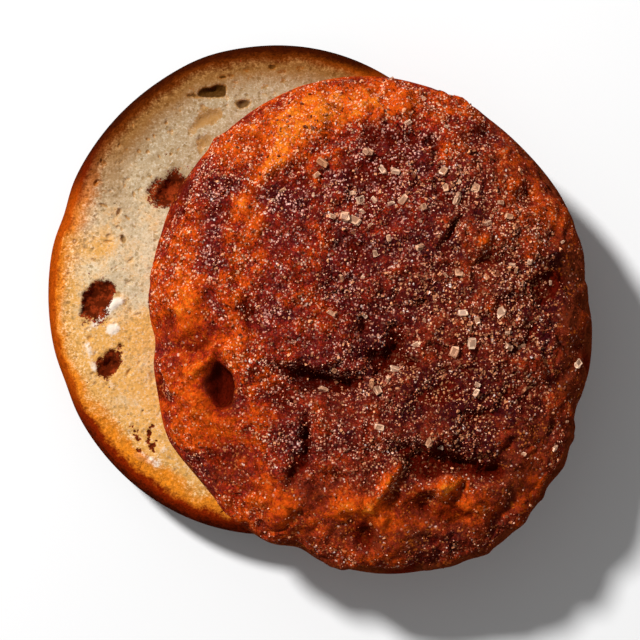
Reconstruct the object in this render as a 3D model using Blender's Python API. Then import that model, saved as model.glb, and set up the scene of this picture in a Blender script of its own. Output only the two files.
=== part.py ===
"""A split bagel: the heel lies cut face up, and the crown rests on it, crust up and shifted sideways.

Sizes are millimetres until the last step of each half, which turns them into metres. Bearings are degrees
from +X towards +Y. Heights of the heel start at its flat base, and those of the crown at its cut face.
"""

import math

import bmesh
import bpy
from mathutils import Vector

MM = 0.001

# The heel, the lower half.
HEEL_HEIGHT = 17.0
HEEL_HALF_LENGTH = 55.5
HEEL_HALF_WIDTH = 51.3
HEEL_LIE = 84.0
HEEL_GIRTH_HEIGHT = 10.5
HEEL_LIP = 2.6
HEEL_BASE_SHARE = 0.78
HEEL_CELLS = 28

# The crown, the upper half.
CROWN_HALF_LENGTH = 55.7
CROWN_HALF_WIDTH = 49.3
CROWN_LIE = 97.0
CROWN_RISE = 17.2
CROWN_GIRTH_HEIGHT = 6.0
CROWN_LIP = 1.6
CROWN_CELLS = 48

# How the crown lies on the heel: its centre measured from the heel's, and the seam between the two.
CROWN_SHIFT = Vector((21.8, -8.2))
SEAM = 0.3

# Section of both halves.
ROUNDNESS = 2.3
LIP_STEPS = 3
FOOT_STEPS = 5

# Swellings and pinches of the crown's outline: bearing, push outwards, spread in degrees.
CROWN_LOBES = (
    (-176.0, -1.2, 5.0),
    (-151.0, 1.5, 9.0),
    (-108.0, -2.0, 5.0),
    (-98.0, -1.0, 10.0),
    (-60.0, 2.0, 12.0),
    (-36.0, 1.2, 5.0),
    (-22.0, -1.3, 7.0),
    (11.0, -1.0, 6.0),
    (32.0, 0.9, 14.0),
    (147.0, 0.5, 10.0),
)
HEEL_LOBES = (
    (107.0, 0.3, 8.0),
    (160.0, -0.7, 6.0),
    (204.0, -0.4, 6.0),
)

# Relief of the crown's dome: x, y, half length, half width, bearing of the length, height.
CROWN_RELIEF = (
    # the dip towards the closed hole and the pucker in it
    (-1.0, -2.0, 17.0, 14.0, 20.0, -4.6),
    (5.8, -5.2, 5.0, 4.2, 60.0, -5.0),
    # the swelling above the crease
    (-5.7, -6.5, 9.0, 4.5, 10.0, 2.0),
    # hollows and the valley of the far side
    (6.0, 40.5, 12.0, 3.8, -14.0, -2.2),
    (25.7, 42.0, 4.8, 4.0, 20.0, -1.6),
    (-15.2, 43.0, 7.0, 4.2, 8.0, 1.2),
    # hollows of the right side
    (20.1, 20.2, 3.8, 3.6, 0.0, -1.4),
    (38.6, 8.6, 5.5, 4.8, 40.0, -2.0),
    (23.7, -20.1, 4.4, 3.8, 0.0, -1.6),
    # the fold of the near side, with its ridge, and the dent below it
    (12.0, -29.6, 8.5, 3.8, -30.0, -2.6),
    (26.0, -31.0, 6.5, 3.8, 8.0, -2.0),
    (17.0, -36.2, 10.0, 3.8, 4.0, 1.4),
    (18.5, -42.5, 8.0, 4.2, 10.0, -1.8),
    # the near left dent and the ridge beside it
    (-4.4, -46.0, 7.0, 4.2, -10.0, -2.2),
    (5.4, -44.0, 6.0, 3.8, 110.0, 1.2),
    # the pit and the hollows of the left side
    (-33.6, -14.0, 4.4, 3.8, 100.0, -3.0),
    (-39.3, -3.9, 4.8, 4.0, 60.0, -1.4),
    (-28.0, 4.9, 4.0, 3.6, 90.0, -1.2),
    (-15.2, -27.0, 5.0, 3.6, 105.0, -1.2),
)

# The crease below the swelling: a groove along an arc.
CREASE_CENTRE = Vector((-5.9, 1.4))
CREASE_RADIUS = 14.5
CREASE_FROM = -142.0
CREASE_TO = -8.0
CREASE_HALF_WIDTH = 3.0
CREASE_DEPTH = 2.2

# Pockets and the largest pore of the heel's cut face, in the same terms as the crown's relief.
HEEL_RELIEF = (
    (-40.0, -1.9, 4.0, 3.6, 30.0, -2.2),
    (-36.8, -16.7, 3.8, 3.4, 50.0, -1.8),
    (-23.8, 22.4, 4.4, 3.8, 70.0, -2.0),
    (-14.1, 44.5, 4.0, 3.0, 0.0, -1.2),
)

CRUST_COLOUR = (0.26, 0.07, 0.03, 1.0)
CRUMB_COLOUR = (0.68, 0.47, 0.27, 1.0)
CRUST_ROUGHNESS = 0.42
CRUMB_ROUGHNESS = 0.85
SHARP_EDGE = math.radians(50.0)


def clear_scene():
    for item in list(bpy.data.objects):
        bpy.data.objects.remove(item, do_unlink=True)


def make_material(name, colour, roughness):
    material = bpy.data.materials.new(name)
    material.use_nodes = True
    shader = material.node_tree.nodes["Principled BSDF"]
    shader.inputs["Base Color"].default_value = colour
    shader.inputs["Roughness"].default_value = roughness
    shader.inputs["Metallic"].default_value = 0.0
    return material


def turn_between(bearing, reference):
    """The angle from one bearing to another, within half a turn either way."""
    return (bearing - reference + 180.0) % 360.0 - 180.0


def outline_radius(bearing, half_length, half_width, lie, lobes):
    """Radius at a bearing of an ellipse lying at `lie`, with soft lobes pushed out or in."""
    turned = math.radians(bearing - lie)
    ellipse = half_length * half_width / math.hypot(
        half_width * math.cos(turned), half_length * math.sin(turned)
    )
    return ellipse + sum(
        push * math.exp(-((turn_between(bearing, at) / spread) ** 2)) for at, push, spread in lobes
    )


def relief_height(x, y, features):
    """Sum of oval bells, each with its own length, width and bearing."""
    total = 0.0
    for centre_x, centre_y, half_length, half_width, bearing, height in features:
        turn = math.radians(bearing)
        along = (x - centre_x) * math.cos(turn) + (y - centre_y) * math.sin(turn)
        across = (y - centre_y) * math.cos(turn) - (x - centre_x) * math.sin(turn)
        total += height * math.exp(-((along / half_length) ** 2) - (across / half_width) ** 2)
    return total


def crease_height(x, y):
    """Depth of the groove that follows the arc of the crease and ends softly past its two bearings."""
    reach = Vector((x, y)) - CREASE_CENTRE
    middle = (CREASE_FROM + CREASE_TO) / 2.0
    bearing = math.degrees(math.atan2(reach.y, reach.x))
    past_end = max(0.0, abs(turn_between(bearing, middle)) - (CREASE_TO - CREASE_FROM) / 2.0)
    run_out = math.radians(past_end) * CREASE_RADIUS
    off_line = math.hypot(reach.length - CREASE_RADIUS, run_out)
    return -CREASE_DEPTH * math.exp(-((off_line / CREASE_HALF_WIDTH) ** 2))


def disc_grid(cells):
    """A square grid bent into a disc of radius 1, so that no pole pinches its middle."""
    mesh = bmesh.new()
    bmesh.ops.create_grid(mesh, x_segments=cells, y_segments=cells, size=1.0)
    for vertex in mesh.verts:
        x, y, _ = vertex.co
        reach = x
        turn = math.pi / 4.0 * y / x if x else 0.0
        if abs(y) > abs(x):
            reach = y
            turn = math.pi / 2.0 - math.pi / 4.0 * x / y
        vertex.co = (reach * math.cos(turn), reach * math.sin(turn), 0.0)
    return mesh


def shape_dome(mesh):
    """Lifts the disc into the dome: a superellipse in section, the outline in plan, then the relief."""
    power = 2.0 / ROUNDNESS
    for vertex in mesh.verts:
        slope = min(vertex.co.xy.length, 1.0) * math.pi / 2.0
        bearing = math.degrees(math.atan2(vertex.co.y, vertex.co.x))
        radius = outline_radius(
            bearing, CROWN_HALF_LENGTH, CROWN_HALF_WIDTH, CROWN_LIE, CROWN_LOBES
        )
        reach = radius * math.sin(slope) ** power
        turn = math.radians(bearing)
        height = CROWN_GIRTH_HEIGHT + CROWN_RISE * max(math.cos(slope), 0.0) ** power
        vertex.co = (reach * math.cos(turn), reach * math.sin(turn), height)
    mesh.normal_update()
    for vertex in mesh.verts:
        x, y, _ = vertex.co
        vertex.co += vertex.normal * (relief_height(x, y, CROWN_RELIEF) + crease_height(x, y))


def shape_cut_face(mesh):
    """Spreads the disc over the heel's cut face and sinks the pockets into it."""
    for vertex in mesh.verts:
        bearing = math.degrees(math.atan2(vertex.co.y, vertex.co.x))
        radius = outline_radius(bearing, HEEL_HALF_LENGTH, HEEL_HALF_WIDTH, HEEL_LIE, HEEL_LOBES)
        reach = (radius - HEEL_LIP) * vertex.co.xy.length
        turn = math.radians(bearing)
        x = reach * math.cos(turn)
        y = reach * math.sin(turn)
        vertex.co = (x, y, HEEL_HEIGHT + relief_height(x, y, HEEL_RELIEF))


def close_below(mesh, section):
    """Extrudes the rim down a section of (scale in plan, height), then closes the last ring flat."""
    rim = [edge for edge in mesh.edges if edge.is_boundary]
    last_scale = 1.0
    for scale, height in section:
        grown = bmesh.ops.extrude_edge_only(mesh, edges=rim)["geom"]
        rim = [item for item in grown if isinstance(item, bmesh.types.BMEdge) and item.is_boundary]
        for vertex in {end for edge in rim for end in edge.verts}:
            vertex.co.x *= scale / last_scale
            vertex.co.y *= scale / last_scale
            vertex.co.z = height
        last_scale = scale
    bmesh.ops.contextual_create(mesh, geom=rim)
    bmesh.ops.recalc_face_normals(mesh, faces=mesh.faces)


def crown_skirt():
    """From the girth in to the cut edge: the lip narrows with the square of the way down."""
    radius = (CROWN_HALF_LENGTH + CROWN_HALF_WIDTH) / 2.0
    for step in range(1, LIP_STEPS + 1):
        way = step / LIP_STEPS
        yield 1.0 - CROWN_LIP * way**2 / radius, CROWN_GIRTH_HEIGHT * (1.0 - way)


def heel_skirt():
    """From the cut edge out to the girth, then under in a quarter superellipse to the flat base."""
    girth = (HEEL_HALF_LENGTH + HEEL_HALF_WIDTH) / 2.0
    cut_edge = girth - HEEL_LIP
    for step in range(1, LIP_STEPS + 1):
        way = 1.0 - step / LIP_STEPS
        height = HEEL_GIRTH_HEIGHT + (HEEL_HEIGHT - HEEL_GIRTH_HEIGHT) * way
        yield (girth - HEEL_LIP * way**2) / cut_edge, height
    power = 2.0 / ROUNDNESS
    for step in range(1, FOOT_STEPS + 1):
        slope = step / FOOT_STEPS * math.pi / 2.0
        share = HEEL_BASE_SHARE + (1.0 - HEEL_BASE_SHARE) * max(math.cos(slope), 0.0) ** power
        yield share * girth / cut_edge, HEEL_GIRTH_HEIGHT * (1.0 - math.sin(slope) ** power)


def make_half(name, mesh, place, material):
    """Moves a half to its place, turns millimetres into metres and makes the object."""
    bmesh.ops.translate(mesh, verts=mesh.verts, vec=place)
    bmesh.ops.scale(mesh, verts=mesh.verts, vec=(MM, MM, MM))
    data = bpy.data.meshes.new(name)
    mesh.to_mesh(data)
    mesh.free()
    for face in data.polygons:
        face.use_smooth = True
    data.set_sharp_from_angle(angle=SHARP_EDGE)
    data.materials.append(material)
    half = bpy.data.objects.new(name, data)
    bpy.context.collection.objects.link(half)
    return half


def middle_of(meshes):
    """Middle, in plan, of the box around meshes that are given with their places."""
    points = [vertex.co + place for mesh, place in meshes for vertex in mesh.verts]
    low = Vector((min(point.x for point in points), min(point.y for point in points), 0.0))
    high = Vector((max(point.x for point in points), max(point.y for point in points), 0.0))
    return (low + high) / 2.0


def main():
    clear_scene()

    heel = disc_grid(HEEL_CELLS)
    shape_cut_face(heel)
    close_below(heel, heel_skirt())

    crown = disc_grid(CROWN_CELLS)
    shape_dome(crown)
    close_below(crown, crown_skirt())

    heel_place = Vector((0.0, 0.0, 0.0))
    crown_place = Vector((CROWN_SHIFT.x, CROWN_SHIFT.y, HEEL_HEIGHT + SEAM))
    middle = middle_of(((heel, heel_place), (crown, crown_place)))
    crumb = make_material("crumb", CRUMB_COLOUR, CRUMB_ROUGHNESS)
    crust = make_material("crust", CRUST_COLOUR, CRUST_ROUGHNESS)
    make_half("heel", heel, heel_place - middle, crumb)
    make_half("crown", crown, crown_place - middle, crust)


main()
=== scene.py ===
"""Finish of a split bagel: a toasted heel lying cut face up and a sugared crown lying on it.

The bread is modelled in millimetres round the middle of each half, as the solids of the frame are, and moved
to where the frame has that half. Bearings are degrees from +X towards +Y.
"""

import math

import bmesh
import bpy
import numpy as np
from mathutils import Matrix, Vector


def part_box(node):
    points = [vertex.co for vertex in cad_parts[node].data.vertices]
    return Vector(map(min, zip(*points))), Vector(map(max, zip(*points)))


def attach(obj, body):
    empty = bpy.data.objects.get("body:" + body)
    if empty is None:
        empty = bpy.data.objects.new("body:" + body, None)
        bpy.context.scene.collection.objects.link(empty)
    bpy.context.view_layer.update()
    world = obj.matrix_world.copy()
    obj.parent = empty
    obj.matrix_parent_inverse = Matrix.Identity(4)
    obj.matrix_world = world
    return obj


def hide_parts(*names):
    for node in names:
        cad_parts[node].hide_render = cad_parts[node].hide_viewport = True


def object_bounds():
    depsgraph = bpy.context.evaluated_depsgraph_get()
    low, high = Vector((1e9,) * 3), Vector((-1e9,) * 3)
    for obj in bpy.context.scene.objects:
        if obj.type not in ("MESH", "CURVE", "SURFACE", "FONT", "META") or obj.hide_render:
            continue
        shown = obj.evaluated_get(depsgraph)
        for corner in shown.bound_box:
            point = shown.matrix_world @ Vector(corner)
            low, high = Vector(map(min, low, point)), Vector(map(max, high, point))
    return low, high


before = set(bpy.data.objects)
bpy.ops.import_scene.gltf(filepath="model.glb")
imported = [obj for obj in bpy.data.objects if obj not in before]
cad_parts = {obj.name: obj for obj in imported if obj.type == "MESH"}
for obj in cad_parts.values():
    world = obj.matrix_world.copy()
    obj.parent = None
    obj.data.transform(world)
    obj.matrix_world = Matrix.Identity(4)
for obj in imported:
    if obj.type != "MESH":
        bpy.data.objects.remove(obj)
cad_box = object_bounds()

bl_info = {
    "name": "Split bagel",
    "version": (1, 0, 0),
    "blender": (4, 5, 0),
    "location": "View3D > Sidebar > Bagel",
    "description": "Makes the crust, crumb and sugar of a split bagel, and a stage for it",
    "category": "Add Mesh",
}

MM = 0.001
BODY = "root"

# Outlines of the two halves: half length, half width, bearing of the length, and lobes of
# (bearing, push outwards, spread in degrees).
HEEL_OUTLINE = (55.5, 51.3, 84.0, ((107.0, 0.3, 8.0), (160.0, -0.7, 6.0), (204.0, -0.4, 6.0)))
CROWN_OUTLINE = (
    55.7,
    49.3,
    97.0,
    (
        (-176.0, -1.2, 5.0),
        (-151.0, 1.5, 9.0),
        (-108.0, -2.0, 5.0),
        (-98.0, -1.0, 10.0),
        (-60.0, 2.0, 12.0),
        (-36.0, 1.2, 5.0),
        (-22.0, -1.3, 7.0),
        (11.0, -1.0, 6.0),
        (32.0, 0.9, 14.0),
        (147.0, 0.5, 10.0),
    ),
)
ROUNDNESS = 2.3

# The crown's section and the heel's, as heights above each half's own lowest face.
CROWN_GIRTH_HEIGHT = 6.0
CROWN_LIP = 1.6
HEEL_GIRTH_HEIGHT = 10.5
HEEL_LIP = 2.6
HEEL_BASE_SHARE = 0.78
LIP_STEPS = 6
FOOT_STEPS = 14
EDGE_WINDOW = 61

# Relief of the crown: x, y, half length, half width, bearing of the length, height, steepness of its wall.
CROWN_RELIEF = (
    # the dip towards the closed hole, the pucker in it and the deepest spots of the pucker
    (-1.0, -2.0, 17.0, 14.0, 20.0, -4.6, 1.0),
    (2.9, -7.8, 4.6, 3.2, 20.0, -3.2, 1.5),
    (5.6, -3.2, 1.8, 2.6, 0.0, -1.6, 1.5),
    (8.4, -7.6, 2.2, 1.7, 0.0, -2.2, 1.5),
    (-15.0, -10.6, 3.6, 2.0, -14.0, -1.6, 1.5),
    # the swelling above the crease, and the short crack above the pucker
    (-8.1, -7.0, 8.0, 3.6, -8.0, 1.9, 1.0),
    (6.8, 0.8, 3.2, 0.9, 12.0, -1.6, 1.5),
    # the hollow, the hole and the swellings of the far side
    (4.6, 41.2, 8.4, 2.6, -10.0, -1.8, 1.4),
    (13.2, 39.4, 2.2, 1.6, -20.0, -2.0, 1.5),
    (6.0, 35.6, 9.0, 2.4, -14.0, 0.9, 1.0),
    (25.7, 42.0, 4.6, 3.6, 20.0, -1.3, 1.0),
    (-15.0, 43.8, 6.4, 3.4, 14.0, 1.4, 1.0),
    (-14.9, 35.6, 4.2, 1.1, 35.0, -1.4, 1.5),
    (-25.0, 29.0, 9.0, 1.6, 52.0, 1.2, 1.2),
    # the crack, the hollows and the dents of the right side
    (18.6, 21.8, 4.0, 1.2, 48.0, -2.2, 1.5),
    (17.9, 17.4, 2.4, 1.8, 20.0, -1.8, 1.3),
    (20.3, 20.0, 2.6, 1.0, 48.0, 1.3, 1.0),
    (25.2, 18.9, 5.0, 1.6, 10.0, 1.2, 1.2),
    (24.6, 14.1, 3.0, 2.0, -10.0, -1.9, 1.3),
    (34.9, 28.8, 2.8, 2.4, 30.0, -1.8, 1.2),
    (38.6, 8.6, 5.5, 4.4, 40.0, -2.2, 1.2),
    (34.0, 17.5, 5.0, 2.0, 60.0, 1.1, 1.0),
    (23.7, -20.1, 3.6, 2.6, 0.0, -1.9, 1.3),
    (8.4, -20.1, 4.6, 2.6, 0.0, -1.1, 1.2),
    # the crevice and the ledge of the near left
    (-14.4, -25.2, 4.8, 2.0, 96.0, -2.8, 1.6),
    (-15.8, -31.2, 3.4, 2.1, 76.0, -2.4, 1.5),
    (-10.6, -20.6, 5.6, 1.3, 105.0, 1.2, 1.0),
    (-7.4, -32.4, 2.8, 2.0, 10.0, -1.6, 1.3),
    # the fold of the near side, with its ridges, and the dent below it
    (12.8, -30.0, 7.0, 3.5, -20.0, -4.0, 1.6),
    (23.0, -31.4, 6.6, 2.1, 0.0, -3.0, 1.6),
    (15.5, -34.9, 7.6, 1.7, 20.0, 2.0, 1.2),
    (4.0, -33.7, 6.0, 1.5, 57.0, 1.8, 1.2),
    (17.5, -41.2, 7.6, 3.2, 8.0, -1.7, 1.3),
    # the near left dent, the swellings round it and the dark edge on the right
    (-3.0, -45.0, 5.6, 3.8, 0.0, -1.6, 1.2),
    (-1.5, -47.6, 2.2, 1.8, 0.0, -1.2, 1.2),
    (5.7, -47.0, 3.4, 3.6, 0.0, 0.8, 1.0),
    (-3.5, -39.4, 4.6, 1.8, 0.0, 1.2, 1.0),
    (-19.0, -39.8, 3.8, 3.0, 30.0, 1.5, 1.0),
    (-24.6, -41.0, 2.6, 1.6, -20.0, -0.8, 1.2),
    (28.2, -42.0, 2.6, 2.0, 60.0, -1.2, 1.2),
    # the pit, the hollows and the swellings of the left side
    (-33.6, -13.9, 4.0, 2.9, 98.0, -3.8, 1.8),
    (-33.6, -8.6, 2.6, 1.3, 80.0, -1.4, 1.4),
    (-38.1, -9.4, 5.2, 1.3, 28.0, 1.5, 1.1),
    (-38.8, -4.6, 6.6, 2.2, 14.0, -1.7, 1.1),
    (-26.2, 3.4, 5.4, 2.2, 100.0, -1.8, 1.1),
    (-39.7, 5.0, 3.8, 2.8, 20.0, 1.6, 1.0),
    (-33.7, -21.2, 3.6, 1.8, 0.0, 1.0, 1.0),
    (-27.8, -4.6, 4.0, 2.6, 30.0, 1.1, 1.0),
    (-31.0, 13.0, 2.6, 4.6, 0.0, -1.1, 1.2),
    (-44.6, -16.0, 2.2, 0.9, 10.0, -0.8, 1.4),
)

# The crease: a groove along an arc that opens a little towards its left end.
CREASE_CENTRE = (-5.9, 1.4)
CREASE_RADIUS = 12.6
CREASE_OPENING = 4.4
CREASE_FROM = -142.0
CREASE_TO = -22.0
CREASE_HALF_WIDTH = 2.1
CREASE_DEPTH = 2.8

# Where the crust is laid darker (+) or paler and more orange (-): x, y, half length, half width, bearing,
# amount. Most rows are the crust's own baked patches; the rows marked below paint shade and highlight.
CROWN_BAKE_AND_SHADING = (
    # the broad patches
    (22.0, 10.0, 16.0, 24.0, 0.0, 0.14),
    (6.0, 8.0, 30.0, 25.0, 100.0, 0.38),
    (1.8, 6.0, 14.0, 18.0, 0.0, -0.06),
    (20.0, -16.0, 26.0, 20.0, -40.0, 0.36),
    (-28.0, -26.0, 16.0, 14.0, 0.0, 0.14),
    # the far left
    (-4.0, 49.0, 12.0, 6.0, -8.0, -0.18),
    (-4.0, 48.5, 14.0, 4.0, 4.0, -0.40),
    (-15.0, 44.5, 13.0, 5.0, 22.0, -0.50),
    (-7.0, 36.5, 8.0, 4.0, 0.0, -0.14),
    (-22.3, 35.4, 4.0, 2.5, 60.0, -0.30),
    (-4.4, 33.2, 4.6, 4.6, 0.0, 0.25),
    (-24.5, 32.0, 12.0, 2.2, 52.0, -0.50),
    (-12.5, 31.9, 2.4, 2.0, 0.0, -0.35),
    (-31.3, 31.4, 6.0, 4.2, 20.0, 0.45),
    (-34.2, 29.4, 5.0, 2.6, 90.0, 0.14),
    (-20.6, 28.8, 5.0, 4.0, 20.0, 0.24),
    (-2.6, 27.7, 5.0, 4.5, 0.0, 0.12),
    (-29.3, 27.2, 3.0, 2.5, 0.0, -0.25),
    (-19.3, 26.8, 5.5, 4.4, 30.0, 0.35),
    (0.2, 20.9, 2.6, 2.2, 0.0, -0.22),
    (-16.5, 20.5, 9.0, 5.0, 10.0, 0.18),
    (-26.5, 19.0, 10.0, 2.4, 75.0, -0.40),
    (-35.2, 18.9, 8.5, 3.2, 85.0, 0.42),
    (-34.6, 16.3, 7.0, 3.0, 90.0, 0.08),
    (-4.0, 15.0, 8.0, 10.0, 0.0, -0.08),
    (-20.6, 10.6, 4.0, 4.0, 0.0, 0.20),
    (-41.5, 9.0, 12.0, 4.0, 95.0, -0.20),
    (-25.5, 6.5, 2.6, 2.6, 0.0, -0.30),
    # painted highlight on the swelling
    (-39.7, 5.0, 3.6, 2.8, 20.0, -0.30),
    # the far right
    # painted shade in the hollow
    (5.0, 41.0, 10.0, 4.0, -8.0, 0.35),
    (15.8, 37.5, 2.4, 2.0, 0.0, -0.35),
    (23.7, 28.0, 8.0, 6.0, -30.0, 0.14),
    (36.0, 27.0, 7.0, 3.0, -50.0, -0.25),
    # painted highlight on the ridge
    (25.2, 18.9, 5.0, 1.8, 10.0, -0.30),
    # these three paint shade on the right edge, which faces away from the key light
    (41.0, 10.0, 14.0, 4.5, 92.0, 0.28),
    (38.5, 8.0, 11.0, 4.0, 92.0, 0.28),
    (42.0, 8.0, 4.5, 8.0, 0.0, 0.34),
    (16.0, 5.0, 16.0, 7.0, 90.0, -0.12),
    (26.0, 4.0, 4.0, 3.0, 0.0, -0.20),
    # the near left
    (-20.1, 1.4, 6.0, 5.0, 0.0, 0.12),
    (-11.4, -2.0, 5.0, 6.0, 0.0, 0.12),
    (-37.7, -3.0, 4.5, 7.0, 0.0, -0.10),
    (-29.0, -3.0, 6.0, 5.0, 20.0, -0.30),
    # painted highlight on the ridge
    (-38.1, -9.4, 5.2, 1.6, 28.0, -0.40),
    (-38.5, -17.0, 8.0, 7.0, 90.0, -0.32),
    (-2.6, -20.5, 4.5, 7.5, 0.0, 0.10),
    # painted highlight on the ledge
    (-10.6, -21.0, 5.6, 1.6, 105.0, -0.30),
    (-11.4, -24.9, 7.0, 7.0, 0.0, 0.20),
    (-31.5, -25.0, 9.0, 6.0, 0.0, -0.24),
    (-24.0, -30.0, 9.0, 6.0, -35.0, -0.12),
    (-20.1, -33.7, 8.0, 5.0, -30.0, 0.16),
    # these two paint highlight on the swellings
    (-3.5, -39.4, 6.5, 2.6, 0.0, -0.25),
    (-19.0, -39.8, 6.5, 4.5, 20.0, -0.32),
    # painted shade in the dent
    (-3.0, -46.0, 5.0, 4.0, 0.0, 0.25),
    # the near right
    (37.0, 3.0, 5.0, 3.0, 40.0, -0.14),
    (14.9, -5.0, 5.0, 8.0, 0.0, -0.22),
    (41.0, -16.0, 6.0, 4.0, 70.0, -0.18),
    (6.0, -25.0, 6.0, 4.0, 0.0, 0.10),
    (20.5, -29.0, 8.0, 3.0, -10.0, 0.16),
    # painted shade in the fold
    (12.8, -29.6, 5.5, 2.6, -15.0, 0.80),
    # painted shade on the near-right flank, away from the key light
    (39.0, -30.0, 6.0, 4.0, 60.0, 0.20),
    # painted shade in the second fold
    (22.5, -31.3, 5.0, 1.3, 0.0, 0.45),
    (32.5, -33.0, 7.0, 7.0, 0.0, -0.10),
    # these two paint highlight on the fold's ridges
    (4.0, -33.7, 6.8, 1.6, 57.0, -0.60),
    (15.5, -34.9, 8.5, 2.0, 20.0, -0.60),
    (6.0, -42.5, 12.0, 4.0, 4.0, -0.32),
    (20.0, -42.5, 12.0, 4.5, 5.0, -0.14),
    # painted highlight on the swelling
    (5.7, -48.0, 4.0, 4.4, 0.0, -0.36),
    # painted shade on the near edge, away from the key light
    (16.0, -48.0, 20.0, 5.0, 8.0, 0.36),
)

# Where the crown has little sugar: x, y, half length, half width, bearing, share that is missing.
CROWN_BARE = (
    (-40.0, -3.0, 12.0, 8.0, 95.0, 0.50),
    (-33.0, -26.0, 12.0, 8.0, -40.0, 0.42),
    (-14.0, -41.0, 18.0, 9.0, -10.0, 0.45),
    (12.0, -43.0, 22.0, 9.0, 5.0, 0.45),
    (34.0, -30.0, 16.0, 7.0, 60.0, 0.44),
    (45.0, 2.0, 22.0, 5.0, 92.0, 0.60),
    (36.0, 34.0, 12.0, 5.0, -50.0, 0.45),
    (-33.6, -13.9, 4.5, 3.4, 98.0, 0.9),
)

# Pockets and pores of the heel's cut face: x, y, half length, half width, bearing, depth, stain, raggedness.
# From STAINED_FROM up, stain is cinnamon; below it, it is how dark the pore is laid: painted shade in the
# pores, tan in the blotches.
HEEL_POCKETS = (
    # the three pockets of the left side
    (-39.6, -2.2, 5.0, 3.0, 58.0, 2.2, 1.0, 0.30),
    (-36.9, -16.8, 3.2, 2.4, 55.0, 2.0, 1.0, 0.30),
    (-23.4, 22.4, 5.4, 3.2, 50.0, 2.4, 1.0, 0.24),
    # the cluster of pores of the near left
    (-31.3, -31.8, 0.7, 0.45, 100.0, 0.3, 0.8, 0.6),
    (-30.7, -33.5, 0.9, 0.5, 120.0, 0.4, 0.8, 0.6),
    (-28.0, -31.9, 0.6, 0.45, 0.0, 0.3, 0.8, 0.6),
    (-28.1, -33.8, 1.1, 0.6, 80.0, 0.4, 0.8, 0.6),
    (-27.3, -35.2, 0.9, 0.5, 20.0, 0.3, 0.8, 0.6),
    (-27.2, -30.6, 0.5, 0.4, 0.0, 0.3, 0.8, 0.4),
    (-30.2, -36.2, 0.5, 0.4, 0.0, 0.3, 0.8, 0.4),
    (-27.0, -36.4, 0.5, 0.4, 0.0, 0.3, 0.8, 0.4),
    # the largest pore, and the pores and blotches of the far edge
    (-14.1, 44.5, 3.3, 1.4, 8.0, 1.6, 0.58, 0.28),
    (-18.6, 43.7, 1.1, 0.4, 0.0, 0.5, 0.45, 0.3),
    (-6.9, 41.8, 1.8, 1.1, 15.0, 1.1, 0.45, 0.14),
    (-14.3, 38.9, 3.4, 2.0, 20.0, 0.3, 0.26, 0.40),
    (-18.2, 36.0, 1.7, 1.1, 40.0, 0.2, 0.16, 0.4),
    (-16.3, 32.6, 1.3, 1.2, 0.0, 0.3, 0.24, 0.3),
    (-0.4, 50.1, 1.0, 0.7, 0.0, 0.7, 0.45, 0.25),
    (-11.6, 47.9, 0.9, 0.45, 10.0, 0.6, 0.50, 0.25),
    (-9.8, 48.1, 0.8, 0.6, 0.0, 0.5, 0.25, 0.25),
    (1.9, 49.0, 0.8, 0.4, 0.0, 0.5, 0.35, 0.25),
    (2.1, 47.0, 0.8, 0.4, 20.0, 0.5, 0.35, 0.25),
    (5.9, 49.9, 0.9, 0.35, 0.0, 0.4, 0.35, 0.25),
    (3.0, 52.0, 1.7, 0.6, -5.0, 0.4, 0.40, 0.35),
    (-1.9, 45.8, 0.9, 0.35, 15.0, 0.5, 0.35, 0.25),
    (-8.5, 46.7, 0.6, 0.35, 0.0, 0.4, 0.30, 0.25),
    (-6.2, 49.4, 0.7, 0.35, 0.0, 0.4, 0.30, 0.25),
    # single pores of the left side
    (-33.9, 11.6, 1.0, 0.65, 100.0, 0.8, 0.38, 0.15),
    (-34.8, 17.3, 1.3, 0.6, 62.0, 0.5, 0.13, 0.2),
    (-35.0, 14.1, 0.6, 0.5, 0.0, 0.4, 0.13, 0.2),
    (-32.3, 6.5, 1.0, 0.45, 35.0, 0.4, 0.14, 0.2),
    (-40.0, 24.0, 0.8, 0.6, 60.0, 0.6, 0.30, 0.2),
    (-38.8, 29.2, 0.6, 0.35, 80.0, 0.5, 0.35, 0.2),
    (-30.3, 31.2, 0.6, 0.5, 0.0, 0.4, 0.22, 0.2),
    (-28.3, 31.0, 0.6, 0.5, 30.0, 0.4, 0.22, 0.2),
    (-26.9, 34.6, 0.6, 0.35, 110.0, 0.4, 0.22, 0.2),
    (-28.3, 33.9, 0.5, 0.35, 0.0, 0.3, 0.22, 0.2),
    (-23.1, 30.5, 0.4, 0.25, 0.0, 0.4, 0.40, 0.2),
    (-24.2, 37.5, 0.4, 0.3, 0.0, 0.4, 0.30, 0.2),
    (-30.1, 22.7, 0.8, 0.35, 15.0, 0.3, 0.20, 0.2),
)

# Where the cut face is toasted (+) or has stayed pale (-): x, y, half length, half width, bearing, amount.
HEEL_TOAST = (
    (-36.5, -11.4, 8.0, 2.6, 5.0, 0.40),
    (-46.0, 0.5, 3.0, 2.2, 40.0, 0.35),
    (-40.5, 9.5, 4.5, 2.4, 60.0, 0.25),
    (-25.0, -27.0, 9.0, 6.0, 110.0, 0.20),
    (-34.8, 4.6, 4.0, 3.0, 0.0, -0.15),
    (-15.0, 34.0, 7.0, 5.0, 40.0, -0.25),
)

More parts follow.
